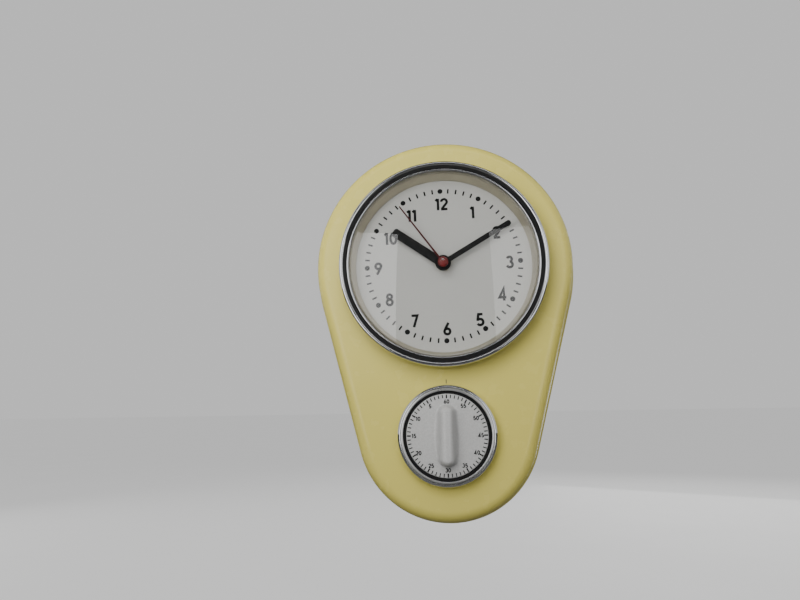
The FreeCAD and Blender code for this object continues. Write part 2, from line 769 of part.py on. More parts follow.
def clock_wheels():
    """The going train and the motion work, each arbor with its wheel and pinion."""
    seconds, drive = cell("seconds_module"), cell("rotor_module")
    centre, motion, hour = cell("centre_module"), cell("motion_module"), cell("hour_module")
    shaft, play = cell("second_shaft"), cell("running")
    tube_out, hour_out = cell("minute_tube"), cell("hour_tube")

    # rotor -> intermediate wheel -> seconds wheel, in a line that leans by INTERMEDIATE_ANGLE
    lean = INTERMEDIATE_ANGLE
    x, y = polar(18 * seconds, lean)
    wheelwork("rotor", [
        toothed(6, drive, 20.2, 21.2, lean + 180 + 30, small=True),
        rod(drive * 1.9, 19.9, 21.2),
        rod(2.6, 16.2, 19.9),
        rod(0.4, 15.0, 22.4),
    ], x=ROTOR[0], height=ROTOR[1])
    wheelwork("intermediate_wheel", [
        toothed(36, drive, 20.4, 21.0, lean),
        toothed(6, seconds, 21.0, 22.6, lean + 180 + 30, small=True),
        rod(0.4, 16.0, 23.0),
    ], spokes_between(1.5, 20.3, 21.1, 3.6, (0.5, 2.6, 4.7)), x=x, height=y)
    # seconds wheel -> third wheel -> centre wheel -> cannon pinion
    across = 36 * centre
    third = across / 34
    wheelwork("seconds_wheel", [
        toothed(30, seconds, 21.8, 22.4, lean),
        toothed(8, third, 22.4, 24.0, 135 + 22.5, small=True),
        rod(shaft, 15.2, 38.2),
    ], spokes_between(1.3, 21.7, 22.5, 3.6, (0.3, 1.87, 3.44, 5.01)))
    x, y = polar(across, 135)
    wheelwork("third_wheel", [
        toothed(60, third, 23.2, 23.8, 135 + 180),
        toothed(8, centre, 23.8, 25.4, 135 + 180 + 22.5, small=True),
        rod(0.4, 16.0, 25.5),
    ], spokes_between(2.0, 23.1, 23.9, 5.0, (0.8, 2.37, 3.94, 5.51)), x=x, height=y)
    wheelwork("centre_wheel", [
        toothed(64, centre, 24.6, 25.2, 135),
        rod(2.2, 24.4, 25.5),
    ], [rod(shaft + play, 24, 26)] + spokes_between(1.9, 24.5, 25.3, 5.2, (0, 1.57, 3.14, 4.71)))
    wheelwork("cannon_pinion", [
        toothed(12, motion, 26.0, 26.8, 90 + 15, small=True),
        rod(1.7, 25.55, 26.9),
        rod(tube_out, 25.55, 36.8),
    ], [rod(shaft + play, 25, 37)])
    wheelwork("hour_wheel", [
        toothed(40, hour, 27.2, 27.9, 90),
        rod(2.9, 27.1, 28.3),
        rod(hour_out, 27.1, 34.0),
    ], [rod(tube_out + play, 27, 35)])
    wheelwork("minute_wheel", [
        toothed(36, motion, 26.05, 26.75, -90),
        toothed(10, hour, 26.75, 28.1, -90 + 18, small=True),
        rod(0.5, 24.3, 28.4),
    ], height=24 * motion)
    knob_phase = 180 + 15
    wheelwork("setting_knob", [
        toothed(12, motion, 26.05, 26.75, knob_phase, small=True),
        rod(1.0, 11.0, 27.0),
        rod(5.0, 8.4, 12.0),
        rod(2.2, 12.0, 12.6),
    ], [Part.makeBox(8.0, 0.9, 1.2, Vector(-4.0, -0.45, 8.0))], x=11.0, height=11.0)


def battery_cell():
    """One round cell, positive nub to the right."""
    body = new_body("battery_cell", height=-S["cell_height"])
    half = S["cell_length"] / 2
    sketch = new_sketch(body, "YZ_Plane", -half)
    add_circle(sketch, S["cell_radius"], 0, S["cell_centre"])
    pad(body, sketch, S["cell_length"])
    sketch = new_sketch(body, "YZ_Plane", half)
    add_circle(sketch, 2.6, 0, S["cell_centre"])
    pad(body, sketch, 1.1)
    return body


def contact(label, side):
    """Bent spring contact at one end of the cell."""
    body = new_body(label, height=-S["cell_height"])
    near, far = (25.65, 26.05) if side > 0 else (-26.05, -25.65)
    slab(body, 15.5, 27.5, lambda s: add_rectangle(s, near, far, -4.5, 4.5))
    if side < 0:
        # the raised pad that presses on the cell's flat end
        slab(body, 19.5, 23.5, lambda s: add_rectangle(s, -25.65, -24.55, -2.0, 2.0))
    return body


# ---------------------------------------------------------------- timer front

def timer_bezel():
    """Chromed ring: a narrow rolled lip over the seal and a sloping outer band."""
    foot = S["case_depth"]
    crest = S["timer_bezel_front"]
    inner, outer, lip = S["timer_bezel_inner"], S["timer_bezel_outer"], S["timer_lip"]
    under = S["seal_front"] + 0.1
    outline = [(inner, foot), (outer, foot), (outer, crest - 2.6), (outer - 0.5, crest - 1.9),
               (lip + 1.4, crest - 0.35), (lip + 1.2, crest - 0.5), (lip + 0.95, crest - 0.05),
               (lip + 0.6, crest), (lip + 0.2, crest - 0.15), (lip, crest - 0.6), (lip, under),
               (inner, under)]
    return turned("timer_bezel", [outline], height=-S["timer_drop"])


def timer_seal():
    """Black cup whose rim shows as a dark ring round the timer dial."""
    inner, outer = S["seal_inner"], S["timer_bezel_inner"]
    neck = S["timer_opening"] - 0.3
    foot = S["case_depth"]
    floor = foot + 0.2
    outline = [(4.2, foot - 0.6), (neck, foot - 0.6), (neck, foot), (outer, foot), (outer, S["seal_front"]),
               (inner, S["seal_front"]), (inner, floor), (4.2, floor)]
    body = turned("timer_seal", [outline], height=-S["timer_drop"])
    cut(body, floor, foot - 1, lambda s: at_pillars(s, 1.4))
    return body


def at_pillars(sketch, radius):
    for degrees in PILLAR_ANGLES:
        x, y = polar(S["pillar_circle"], degrees)
        add_circle(sketch, radius, 0 if degrees == 90 else x, y)


def timer_dial():
    """Silver dial that turns, with a raised grip across it."""
    radius = S["knob_radius"]
    back, front = S["knob_back"], S["knob_front"]
    outline = [(0, back), (radius, back), (radius, front - 0.5), (radius - 0.5, front), (0, front + 0.4)]
    body = turned("timer_dial", [outline], domes=(), height=-S["timer_drop"])

    def lens_outline(length, width):
        """Two bowed sides and two short ends."""
        def draw(sketch):
            half, side, end = length / 2, width / 2, size(width.value * 0.27)
            bow = side * 0.86
            right = [(end, -half), (bow, -half * 0.5), (side, 0), (bow, half * 0.5), (end, half)]
            left = [(-end, half), (-bow, half * 0.5), (-side, 0), (-bow, -half * 0.5), (-end, -half)]
            add_polygon(sketch, right + left)
        return draw

    foot = new_sketch(body, "XY_Plane", front)
    lens_outline(S["grip_length"], S["grip_width"])(foot)
    middle = new_sketch(body, "XY_Plane", front + S["grip_height"] * 0.4)
    lens_outline(S["grip_length"] - 1.4, S["grip_ridge"] + 4.0)(middle)
    ridge = new_sketch(body, "XY_Plane", front + S["grip_height"])
    lens_outline(S["grip_length"] - 3.0, S["grip_ridge"])(ridge)
    for low, high in ((foot, middle), (middle, ridge)):
        loft = body.newObject("PartDesign::AdditiveLoft", "Loft")
        loft.Profile = low
        loft.Sections = [high]
        loft.Ruled = True
    cut(body, front - 0.9, back - 1, lambda s: add_circle(s, S["arbor_radius"]))
    return body


# ---------------------------------------------------------------- timer movement

def stepped(start, distance, degrees):
    """The point at that distance and angle from start."""
    angle = math.radians(degrees)
    return start[0] + distance * math.cos(angle), start[1] + distance * math.sin(angle)


PILLAR_ANGLES = (90, 210, 330)
SECOND_AT = (-14.549, 8.4)
THIRD_AT = stepped(SECOND_AT, 12.0, -75)
ESCAPE_AT = stepped(THIRD_AT, 8.0, -60)
BALANCE_AT = (3.2, -13.4)
HAMMER_AT = (20.5, 9.0)
BELL_AT = (2.0, 0.0)


def movement_plate(label, back, holes):
    """A round plate drilled for arbors and pillars."""
    body = new_body(label, height=-S["timer_drop"])
    front = back + S["plate_sheet"]
    slab(body, back, front, lambda s: add_circle(s, S["plate_radius"]))

    def drill(sketch):
        for x, y, radius in holes:
            add_circle(sketch, radius, x, y)
        at_pillars(sketch, 1.4)

    cut(body, front, back, drill)
    return body


def pillars():
    """Three pillars between the plates, drilled for a screw at each end."""
    body = new_body("pillars", height=-S["timer_drop"])
    back = S["back_plate_back"] + S["plate_sheet"]
    front = S["front_plate_back"]
    slab(body, back, front, lambda s: at_pillars(s, S["pillar_radius"]))
    cut(body, front, front - 4, lambda s: at_pillars(s, 1.4))
    cut(body, back + 4, back - 1, lambda s: at_pillars(s, 1.4))
    return body


def spacers():
    """Three sleeves between the timer movement and the cup."""
    body = new_body("spacers", height=-S["timer_drop"])
    back = S["front_plate_back"] + S["plate_sheet"]
    slab(body, back, S["case_depth"] - 0.6, lambda s: at_pillars(s, S["pillar_radius"]))
    cut(body, S["case_depth"], back - 1, lambda s: at_pillars(s, 1.4))
    return body


def mechanism_screws():
    """Three screws through the cup into the pillars, and three through the back plate."""
    body = new_body("mechanism_screws", height=-S["timer_drop"])
    floor = S["case_depth"] + 0.2
    slab(body, S["front_plate_back"] - 3, floor, lambda s: at_pillars(s, 1.4))
    slab(body, floor, floor + 0.7, lambda s: at_pillars(s, 2.4))
    back = S["back_plate_back"]
    slab(body, back, back + S["plate_sheet"] + 3, lambda s: at_pillars(s, 1.4))
    slab(body, back - 1.0, back, lambda s: at_pillars(s, 2.4))
    return body


def timer_wheels():
    """Arbor and great wheel, second and third wheel, escape wheel, balance and hammer."""
    great, fine = cell("great_module"), cell("timer_module")
    drop, arbor, play = S["timer_drop"], cell("arbor_radius"), cell("running")
    lines = (150.0, -75.0, -60.0)
    wheelwork("timer_arbor", [rod(arbor, 12.3, 37.5), rod(2.8, 24.0, 24.5)], height=-drop)
    wheelwork("great_wheel", [
        toothed(48, great, 24.6, 25.8, lines[0]),
        rod(4.5, 24.5, 26.6),
    ], [rod(arbor, 24, 27)] + spokes_between(2.6, 24, 26.4, 9.0, (0, 1.257, 2.513, 3.77, 5.027)),
        height=-drop)
    wheelwork("second_wheel", [
        toothed(40, fine, 21.6, 22.6, lines[1]),
        toothed(8, great, 22.6, 26.2, lines[0] + 180 + 22.5, small=True),
        rod(0.8, 12.3, 28.4),
    ], spokes_between(2.0, 21, 23, 5.5, (0.4, 1.97, 3.54, 5.11)), x=SECOND_AT[0], height=-drop + SECOND_AT[1])
    wheelwork("timer_third_wheel", [
        toothed(24, fine, 18.6, 19.6, lines[2]),
        toothed(8, fine, 19.6, 23.0, lines[1] + 180 + 22.5, small=True),
        rod(0.8, 12.3, 23.4),
    ], x=THIRD_AT[0], height=-drop + THIRD_AT[1])
    wheelwork("escape_wheel", [
        escape_outline(15, 5.5, 15.6, 16.4),
        toothed(8, fine, 16.4, 20.0, lines[2] + 180 + 22.5, small=True),
        rod(0.6, 12.3, 20.4),
    ], x=ESCAPE_AT[0], height=-drop + ESCAPE_AT[1])
    ring = rod(6.5, 13.8, 14.8).cut(rod(5.4, 13, 16))
    bar = Part.makeBox(11.6, 1.2, 0.8, Vector(-5.8, -0.6, 13.9))
    reach = math.degrees(math.atan2(ESCAPE_AT[1] - BALANCE_AT[1], ESCAPE_AT[0] - BALANCE_AT[0]))
    arm = Part.makeBox(4.4, 1.4, 0.8, Vector(0, -0.7, 15.6))
    arm.rotate(Vector(0, 0, 0), Vector(0, 0, 1), reach)
    wheelwork("balance", [rod(0.6, 12.3, 20.4), ring, bar, arm],
              x=BALANCE_AT[0], height=-drop + BALANCE_AT[1])
    strike = (BELL_AT[0] + 20.05 * math.cos(math.radians(60)) - HAMMER_AT[0],
              BELL_AT[1] + 20.05 * math.sin(math.radians(60)) - HAMMER_AT[1])
    length = math.hypot(*strike)
    arm = Part.makeBox(length, 1.6, 1.2, Vector(0, -0.8, 8.2))
    arm.rotate(Vector(0, 0, 0), Vector(0, 0, 1), math.degrees(math.atan2(strike[1], strike[0])))
    wheelwork("hammer", [rod(0.8, 8.2, 28.4), rod(1.6, 8.2, 9.4), arm, rod(1.6, 7.0, 10.6, *strike)],
              x=HAMMER_AT[0], height=-drop + HAMMER_AT[1])


def escape_outline(teeth, radius, back, front):
    """Pointed, raked teeth."""
    points = []
    step = 2 * math.pi / teeth
    for i in range(teeth):
        for share, reach in ((0.0, 0.74), (0.12, 1.0), (0.22, 1.0), (0.55, 0.74)):
            angle = (i + share) * step
            points.append(Vector(radius * reach * math.cos(angle), radius * reach * math.sin(angle), back))
    points.append(points[0])
    return Part.Face(Part.makePolygon(points)).extrude(Vector(0, 0, front - back))


def mainspring():
    """Flat steel spiral round the arbor, four turns."""
    turns, per_turn, strip = 4, 24, 0.3
    first, last = cell("arbor_radius") + 0.35, 5.1
    inner, outer = [], []
    for i in range(turns * per_turn + 1):
        angle = 2 * math.pi * i / per_turn
        radius = first + (last - strip - first) * i / (turns * per_turn)
        inner.append(Vector(radius * math.cos(angle), radius * math.sin(angle), 17.6))
        outer.append(Vector((radius + strip) * math.cos(angle), (radius + strip) * math.sin(angle), 17.6))
    outline = inner + outer[::-1] + [inner[0]]
    strip_solid = Part.Face(Part.makePolygon(outline)).extrude(Vector(0, 0, 5.8))
    wheelwork("mainspring", [strip_solid], height=-S["timer_drop"])


def bell():
    """Shallow steel cup, open towards the room."""
    radius = S["bell_radius"]
    inside = radius - S["bell_sheet"]
    outline = [(1.6, 3.8), (radius - 6, 3.8), (radius - 1.5, 5.6), (radius, 7.6), (radius, 10.4),
               (inside, 10.4), (inside, 8.0), (inside - 1.2, 6.5), (inside - 5.3, 4.8), (1.6, 4.8)]
    return turned("bell", [outline], x=BELL_AT[0], height=-S["timer_drop"] + BELL_AT[1])


def bell_post():
    """Stud that carries the bell on the timer's back plate."""
    outline = [(0, 3.2), (2.6, 3.2), (2.6, 3.8), (1.6, 3.8), (1.6, 4.8), (2.4, 4.8), (2.4, 12.0), (0, 12.0)]
    return turned("bell_post", [outline], x=BELL_AT[0], height=-S["timer_drop"] + BELL_AT[1])


# ---------------------------------------------------------------- build everything

front_housing()
back_cover()
cover_screws()
hanger_plate()
wall_pads()
index_mark()
clock_bezel()
bezel_gasket()
dial_ring()
clock_lens()
dial_plate()
hour_hand()
minute_hand()
minute_hub()
second_hand()
second_cap()
movement_case()
movement_cover()
threaded_bushing()
mounting_nut()
rubber_washer()
circuit_board()
quartz_crystal()
drive_coil()
stator()
clock_wheels()
battery_cell()
contact("contact_positive", 1)
contact("contact_negative", -1)
timer_bezel()
timer_seal()
timer_dial()
movement_plate("front_plate", S["front_plate_back"],
               [(0, 0, cell("arbor_radius") + 0.06), (*SECOND_AT, 0.86), (*HAMMER_AT, 0.86)])
movement_plate("back_plate", S["back_plate_back"],
               [(0, 0, cell("arbor_radius") + 0.06), (*SECOND_AT, 0.86), (*THIRD_AT, 0.86),
                (*ESCAPE_AT, 0.66), (*BALANCE_AT, 0.66), (*HAMMER_AT, 0.86)])
pillars()
spacers()
mechanism_screws()
timer_wheels()
mainspring()
bell()
bell_post()

doc.recompute()

# ---------------------------------------------------------------- check and write

for thing in doc.Objects:
    if {"Invalid", "Error"} & set(thing.State):
        raise RuntimeError(f"{thing.Label} did not build: {thing.State}")
for node in nodes:
    if node.Shape.isNull() or not node.Shape.isValid():
        raise RuntimeError(f"{node.Label} has no valid shape")
    if not node.Shape.Solids:
        raise RuntimeError(f"{node.Label} has no solid")
for node in nodes:
    node.Shape.exportStep(f"parts/{node.Label}.step")
print(len(nodes), "sub-parts")
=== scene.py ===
import math

import bmesh
import bpy
from mathutils import Matrix, Vector

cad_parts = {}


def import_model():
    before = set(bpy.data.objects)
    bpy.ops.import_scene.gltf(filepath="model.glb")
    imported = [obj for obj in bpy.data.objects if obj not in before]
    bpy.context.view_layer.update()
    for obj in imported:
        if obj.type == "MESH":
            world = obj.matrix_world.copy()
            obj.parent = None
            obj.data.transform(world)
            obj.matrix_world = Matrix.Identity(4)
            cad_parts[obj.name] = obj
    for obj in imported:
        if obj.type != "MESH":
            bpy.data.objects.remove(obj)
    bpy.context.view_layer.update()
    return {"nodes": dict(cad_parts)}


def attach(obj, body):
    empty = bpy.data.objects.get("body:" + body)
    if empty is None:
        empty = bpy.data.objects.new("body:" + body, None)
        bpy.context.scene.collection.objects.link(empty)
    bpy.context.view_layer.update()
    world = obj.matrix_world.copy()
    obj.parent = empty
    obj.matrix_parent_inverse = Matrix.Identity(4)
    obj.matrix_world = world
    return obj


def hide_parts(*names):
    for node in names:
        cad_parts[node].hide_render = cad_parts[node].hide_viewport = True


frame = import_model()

# The clock hangs with its back on the plane y = 0 and its dials facing -Y. Profiles below are
# written in millimetres as (radius, depth), where depth is the distance from the wall, and
# MM turns them into metres.

MM = 0.001
TIMER_Z = -110.0            # height of the timer axis, mm
TOP_Z = 1.5                 # height of the upper arc's centre, mm
BOTTOM_Z = -106.0           # height of the lower arc's centre, mm
TOP_R = 89.2                # case radius round the clock, at the wall
BOTTOM_R = 61.2             # case radius round the timer, at the wall
FACE_DEPTH = 32.0           # flat front of the case
DIAL_DEPTH = 31.1           # printed face of the clock dial
KNOB_DEPTH = 38.4           # printed face of the timer dial
PRINT_TURN = -1.2           # the dial print sits slightly turned, degrees clockwise
UPPER_SPANS = 128           # faces round the upper arc of the case
LOWER_SPANS = 64            # round the lower arc
SIDE_SPANS = 20             # and along each straight side
MITRE_LIMIT = 0.35          # keeps the corner of a printed line from running out to a spike


# ---------------------------------------------------------------- meshes

def place(name, data):
    """An object for that mesh, lamp or camera, put into the scene."""
    item = bpy.data.objects.new(name, data)
    bpy.context.scene.collection.objects.link(item)
    return item


def add_mesh(name, verts, faces, body, material, smooth=True):
    """A piece from vertices in millimetres, riding on a body."""
    mesh = bpy.data.meshes.new(name)
    mesh.from_pydata([(x * MM, y * MM, z * MM) for x, y, z in verts], [], faces)
    mesh.validate()
    mesh.update()
    if smooth:
        mesh.shade_smooth()
    mesh.materials.append(material)
    piece = place(name, mesh)
    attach(piece, body)
    return piece


def lathe(name, profile, body, material, z=0.0, around=256):
    """Turns a closed run of (radius, depth) points round the axis at height z, with its faces outwards."""
    verts, faces = [], []
    count = len(profile)
    turning = 0.0
    for k in range(count):
        turning += profile[k - 1][0] * profile[k][1] - profile[k][0] * profile[k - 1][1]
    if turning < 0:
        profile = profile[::-1]
    for i in range(around):
        angle = 2 * math.pi * i / around
        for radius, depth in profile:
            verts.append((radius * math.sin(angle), -depth, z + radius * math.cos(angle)))
    for i in range(around):
        j = (i + 1) % around
        for k in range(count):
            m = (k + 1) % count
            faces.append((i * count + k, i * count + m, j * count + m, j * count + k))
    return add_mesh(name, verts, faces, body, material)


def arc(centre, radius, start, end, steps, squash=1.0):
    """Points on an arc, with angles in degrees: 0 is along the first axis and 90 along the second."""
    points = []
    for i in range(steps + 1):
        angle = math.radians(start + (end - start) * i / steps)
        points.append((centre[0] + radius * math.cos(angle), centre[1] + radius * squash * math.sin(angle)))
    return points


def circle(centre, radius, steps):
    """Evenly spaced points on a whole circle."""
    return arc(centre, radius, 0, 360, steps)[:-1]


def between(first, last, spans):
    """The points that cut a straight run into equal spans, without its two ends."""
    points = []
    for i in range(1, spans):
        t = i / spans
        points.append((first[0] + (last[0] - first[0]) * t, first[1] + (last[1] - first[1]) * t))
    return points


def pear_ring(inset):
    """Points (x, z) round the case outline, moved inwards by inset: two arcs and two straight sides."""
    lean = math.degrees(math.asin((TOP_R - BOTTOM_R) / (TOP_Z - BOTTOM_Z)))
    upper = arc((0.0, TOP_Z), TOP_R - inset, -lean, 180 + lean, UPPER_SPANS)
    lower = arc((0.0, BOTTOM_Z), BOTTOM_R - inset, 180 + lean, 360 - lean, LOWER_SPANS)
    left = between(upper[-1], lower[0], SIDE_SPANS)
    right = between(lower[-1], upper[0], SIDE_SPANS)
    return upper + left + lower + right


def ribbon(points, width, closed=False):
    """A flat band of that width along 2-D points: returns (verts, faces) in the plane."""
    count = len(points)
    verts, faces = [], []
    for i in range(count):
        here = Vector(points[i])
        before = Vector(points[i - 1]) if i > 0 or closed else None
        after = Vector(points[(i + 1) % count]) if i < count - 1 or closed else None
        into = (here - before).normalized() if before is not None else None
        out = (after - here).normalized() if after is not None else None
        into = into or out
        out = out or into
        along = (into + out).normalized()
        across = Vector((-along.y, along.x))
        stretch = 1.0 / max(MITRE_LIMIT, across.dot(Vector((-out.y, out.x))))
        verts.append(here + across * width / 2 * stretch)
        verts.append(here - across * width / 2 * stretch)
    spans = count if closed else count - 1
    for i in range(spans):
        a, b = 2 * i, 2 * ((i + 1) % count)
        faces.append((a, a + 1, b + 1, b))
    return verts, faces


# Each digit: (width, [(points, closed), ...]) for a digit 1 high, centred on x = 0.
DIGITS = {
    "0": (0.62, [(arc((0, 0.5), 0.235, 0, 348, 30, 1.82), True)]),
    "1": (0.34, [([(-0.15, 0.80), (0.04, 0.965)], False), ([(0.055, 1.0), (0.055, 0.0)], False)]),
    "2": (0.58, [(arc((-0.005, 0.70), 0.225, 178, -38, 22) + [(-0.20, 0.10)], False),
                 ([(-0.27, 0.072), (0.265, 0.072)], False)]),
    "3": (0.56, [(arc((-0.01, 0.735), 0.19, 160, -88, 22), False),
                 (arc((-0.01, 0.30), 0.228, 90, -162, 26), False)]),
    "4": (0.62, [([(0.10, 0.0), (0.10, 0.97), (-0.265, 0.275), (0.275, 0.275)], False)]),
    "5": (0.58, [([(0.22, 0.93), (-0.115, 0.93), (-0.185, 0.505)]
                  + arc((0.0, 0.31), 0.24, 128, -150, 26), False)]),
    "6": (0.58, [(arc((0, 0.295), 0.222, 0, 348, 30), True),
                 ([(0.115, 0.99), (-0.185, 0.43)], False)]),
    "7": (0.56, [([(-0.25, 0.93), (0.215, 0.93), (-0.08, 0.0)], False)]),
    "8": (0.58, [(arc((0, 0.745), 0.182, 0, 348, 28), True),
                 (arc((0, 0.295), 0.224, 0, 348, 30), True)]),
    "9": (0.58, [(arc((0, 0.705), 0.222, 0, 348, 30), True),
                 ([(-0.115, 0.01), (0.185, 0.57)], False)]),
}


class Print:
    """Flat printed marks gathered in one mesh that faces the room."""

    def __init__(self, depth, z=0.0, turn=0.0):
        self.depth = depth
        self.z = z
        self.turn = math.radians(turn)
        self.verts = []
        self.faces = []

    def add(self, verts, faces):
        """Adds flat faces, turned clockwise about the middle by the print's turn."""
        first = len(self.verts)
        cosine, sine = math.cos(self.turn), math.sin(self.turn)
        for x, y in verts:
            self.verts.append((x * cosine + y * sine, -self.depth, self.z - x * sine + y * cosine))
        self.faces.extend(tuple(first + i for i in face) for face in faces)

    def disc(self, centre, radius, steps=32):
        """A filled dot."""
        self.add(circle(centre, radius, steps), [tuple(range(steps))])

    def tick(self, angle, inner, outer, width):
        """A short radial bar; angle is clockwise from the top."""
        a = math.radians(angle)
        along = Vector((math.sin(a), math.cos(a)))
        self.add(*ribbon([along * inner, along * outer], width))

    def number(self, text, centre, height, stroke, gap=0.10):
        """An upright number with its middle at centre."""
        total = sum(DIGITS[c][0] for c in text) + gap * (len(text) - 1)
        left = -total / 2
        for character in text:
            width, strokes = DIGITS[character]
            middle = left + width / 2
            for points, closed in strokes:
                placed = []
                for x, y in points:
                    placed.append((centre[0] + (middle + x) * height, centre[1] + (y - 0.5) * height))
                self.add(*ribbon(placed, stroke * height, closed))
            left += width + gap

    def finish(self, name, body, material):
        """Makes the gathered marks into one piece."""
        return add_mesh(name, self.verts, self.faces, body, material, smooth=False)


# ---------------------------------------------------------------- materials

def colour(r, g, b):
    """Linear colour from 0-255 screen values."""
    out = []
    for value in (r, g, b):
        value /= 255.0
        out.append(value / 12.92 if value <= 0.04045 else ((value + 0.055) / 1.055) ** 2.4)
    return (*out, 1.0)


def shade(base, factor):
    """The colour made lighter or darker by a factor."""
    return (*[min(1.0, c * factor) for c in base[:3]], 1.0)


class Finish:
    """Builds one node material: a Principled shader with noise-driven colour, gloss and relief."""

    def __init__(self, name):
        self.material = bpy.data.materials.new(name)
        self.material.use_nodes = True
        self.tree = self.material.node_tree
        self.shader = self.tree.nodes["Principled BSDF"]
        self.coords = self.node("ShaderNodeTexCoord")

    def node(self, kind, **settings):
        """A new node with those settings."""
        node = self.tree.nodes.new(kind)
        for key, value in settings.items():
            setattr(node, key, value)
        return node

    def link(self, a, b):
        self.tree.links.new(a, b)

    def noise(self, scale, detail=3.0, rough=0.55, stretch=None):
        """A noise value that is fixed to the piece."""
        source = self.coords.outputs["Object"]
        if stretch:
            mapping = self.node("ShaderNodeMapping")
            mapping.inputs["Scale"].default_value = stretch
            self.link(source, mapping.inputs["Vector"])
            source = mapping.outputs["Vector"]
        noise = self.node("ShaderNodeTexNoise")
        noise.inputs["Scale"].default_value = scale
        noise.inputs["Detail"].default_value = detail
        noise.inputs["Roughness"].default_value = rough
        self.link(source, noise.inputs["Vector"])
        return noise.outputs["Fac"]

    def ramp(self, value, low, high, start=0.3, end=0.7):
        """Turns the values from start to end into colours from low to high."""
        ramp = self.node("ShaderNodeValToRGB")
        ramp.color_ramp.elements[0].position = start
        ramp.color_ramp.elements[0].color = low
        ramp.color_ramp.elements[1].position = end
        ramp.color_ramp.elements[1].color = high
        self.link(value, ramp.inputs["Fac"])
        return ramp.outputs["Color"]

    def span(self, value, low, high, start=0.3, end=0.7):
        """Turns the values from start to end into numbers from low to high."""
        span = self.node("ShaderNodeMapRange")
        span.inputs["From Min"].default_value = start
        span.inputs["From Max"].default_value = end
        span.inputs["To Min"].default_value = low
        span.inputs["To Max"].default_value = high
        self.link(value, span.inputs["Value"])
        return span.outputs["Result"]

    def tint(self, base, vary, scale, detail=4.0, stretch=None):
        """A base colour that varies by a share of itself."""
        value = self.noise(scale, detail, stretch=stretch)
        varied = self.ramp(value, shade(base, 1 - vary), shade(base, 1 + vary))
        self.link(varied, self.shader.inputs["Base Color"])
        return self

    def gloss(self, low, high, scale, stretch=None):
        """A roughness that varies from low to high."""
        value = self.noise(scale, 4.0, stretch=stretch)
        self.link(self.span(value, low, high), self.shader.inputs["Roughness"])
        return self

    def relief(self, scale, height, strength=1.0, detail=2.0, stretch=None, round_edge=0.0):
        """Fine bumps height millimetres high."""
        bump = self.node("ShaderNodeBump")
        bump.inputs["Strength"].default_value = strength
        bump.inputs["Distance"].default_value = height * MM
        self.link(self.noise(scale, detail, stretch=stretch), bump.inputs["Height"])
        if round_edge:
            bevel = self.node("ShaderNodeBevel", samples=4)
            bevel.inputs["Radius"].default_value = round_edge * MM
            self.link(bevel.outputs["Normal"], bump.inputs["Normal"])
        self.link(bump.outputs["Normal"], self.shader.inputs["Normal"])
        return self

    def choose(self, ray, normal, special):
        """Shows one kind of ray the special shader, and all the others the normal one."""
        path = self.node("ShaderNodeLightPath")
        mix = self.node("ShaderNodeMixShader")
        self.link(path.outputs[ray], mix.inputs["Fac"])
        self.link(normal, mix.inputs[1])
        self.link(special, mix.inputs[2])
        self.link(mix.outputs["Shader"], self.tree.nodes["Material Output"].inputs["Surface"])

    def set(self, **values):
        """Constants on the shader's own sockets."""
        for key, value in values.items():
            self.shader.inputs[key.replace("_", " ")].default_value = value
        return self


def lacquer():
    """Cream gloss enamel over steel: slight orange peel under a clear coat."""
    base = (0.63, 0.555, 0.130, 1.0)
    finish = Finish("cream_lacquer").tint(base, 0.02, 22.0).gloss(0.20, 0.30, 90.0)
    finish.relief(330.0, 0.012, 0.35, 1.5)
    finish.set(Coat_Weight=0.35, Coat_Roughness=0.06, Coat_IOR=1.45, Specular_IOR_Level=0.25)
    return finish.material


def chrome():
    """Polished chrome plate."""
    finish = Finish("polished_chrome").tint((0.80, 0.81, 0.83, 1), 0.03, 60.0).gloss(0.03, 0.06, 40.0)
    finish.relief(200.0, 0.0015, 0.1, 1.0)
    finish.set(Metallic=1.0)
    return finish.material


def satin_metal(name, base, rough=(0.22, 0.36), stretch=(1, 1, 14), scale=180.0, vary=0.07):
    """Metal with a fine grain, which is closest along the axis of the largest stretch."""
    finish = Finish(name).tint(base, vary, 70.0, stretch=stretch).gloss(*rough, scale, stretch=stretch)
    finish.relief(scale * 2, 0.006, 0.3, 3.0, stretch=stretch, round_edge=0.12)
    finish.set(Metallic=1.0)
    return finish.material


def moulded(name, base, rough=(0.38, 0.55), grain=900.0, height=0.02, round_edge=0.25, vary=0.05, shine=0.5):
    """Plastic, rubber, paint or ink with a grain of that height, in millimetres."""
    finish = Finish(name).tint(base, vary, 30.0).gloss(*rough, 140.0)
    finish.relief(grain, height, 0.5, 2.0, round_edge=round_edge)
    finish.set(Specular_IOR_Level=shine)
    return finish.material


def dial_paint():
    """Smooth white paint of the clock dial."""
    base = colour(206, 206, 201)
    finish = Finish("dial_white").tint(base, 0.012, 240.0, 6.0).gloss(0.45, 0.6, 200.0)
    finish.relief(1400.0, 0.006, 0.3, 2.0)
    return finish.material


def clear_lens():
    """Clear moulded lens. Lamps pass through it, so that the dial stays evenly lit."""
    finish = Finish("clear_lens").gloss(0.0, 0.012, 60.0)
    finish.set(Base_Color=(1, 1, 1, 1), Transmission_Weight=1.0, IOR=1.46)
    through = finish.node("ShaderNodeBsdfTransparent")
    finish.choose("Is Shadow Ray", finish.shader.outputs["BSDF"], through.outputs["BSDF"])
    return finish.material


def silver_plastic():
    """Silver-grey painted plastic with a very fine metallic grain."""
    finish = Finish("silver_dial").tint((0.47, 0.47, 0.465, 1), 0.09, 1100.0, 2.0).gloss(0.30, 0.40, 200.0)
    finish.relief(1800.0, 0.004, 0.3, 2.0)
    finish.set(Metallic=0.12, Coat_Weight=0.10, Coat_Roughness=0.2)
    return finish.material


EVEN = (1, 1, 1)            # a metal grain that is the same in every direction
WOUND = (60, 1, 1)          # a grain as fine as the turns of a coil
INK = (0.006, 0.006, 0.006, 1)

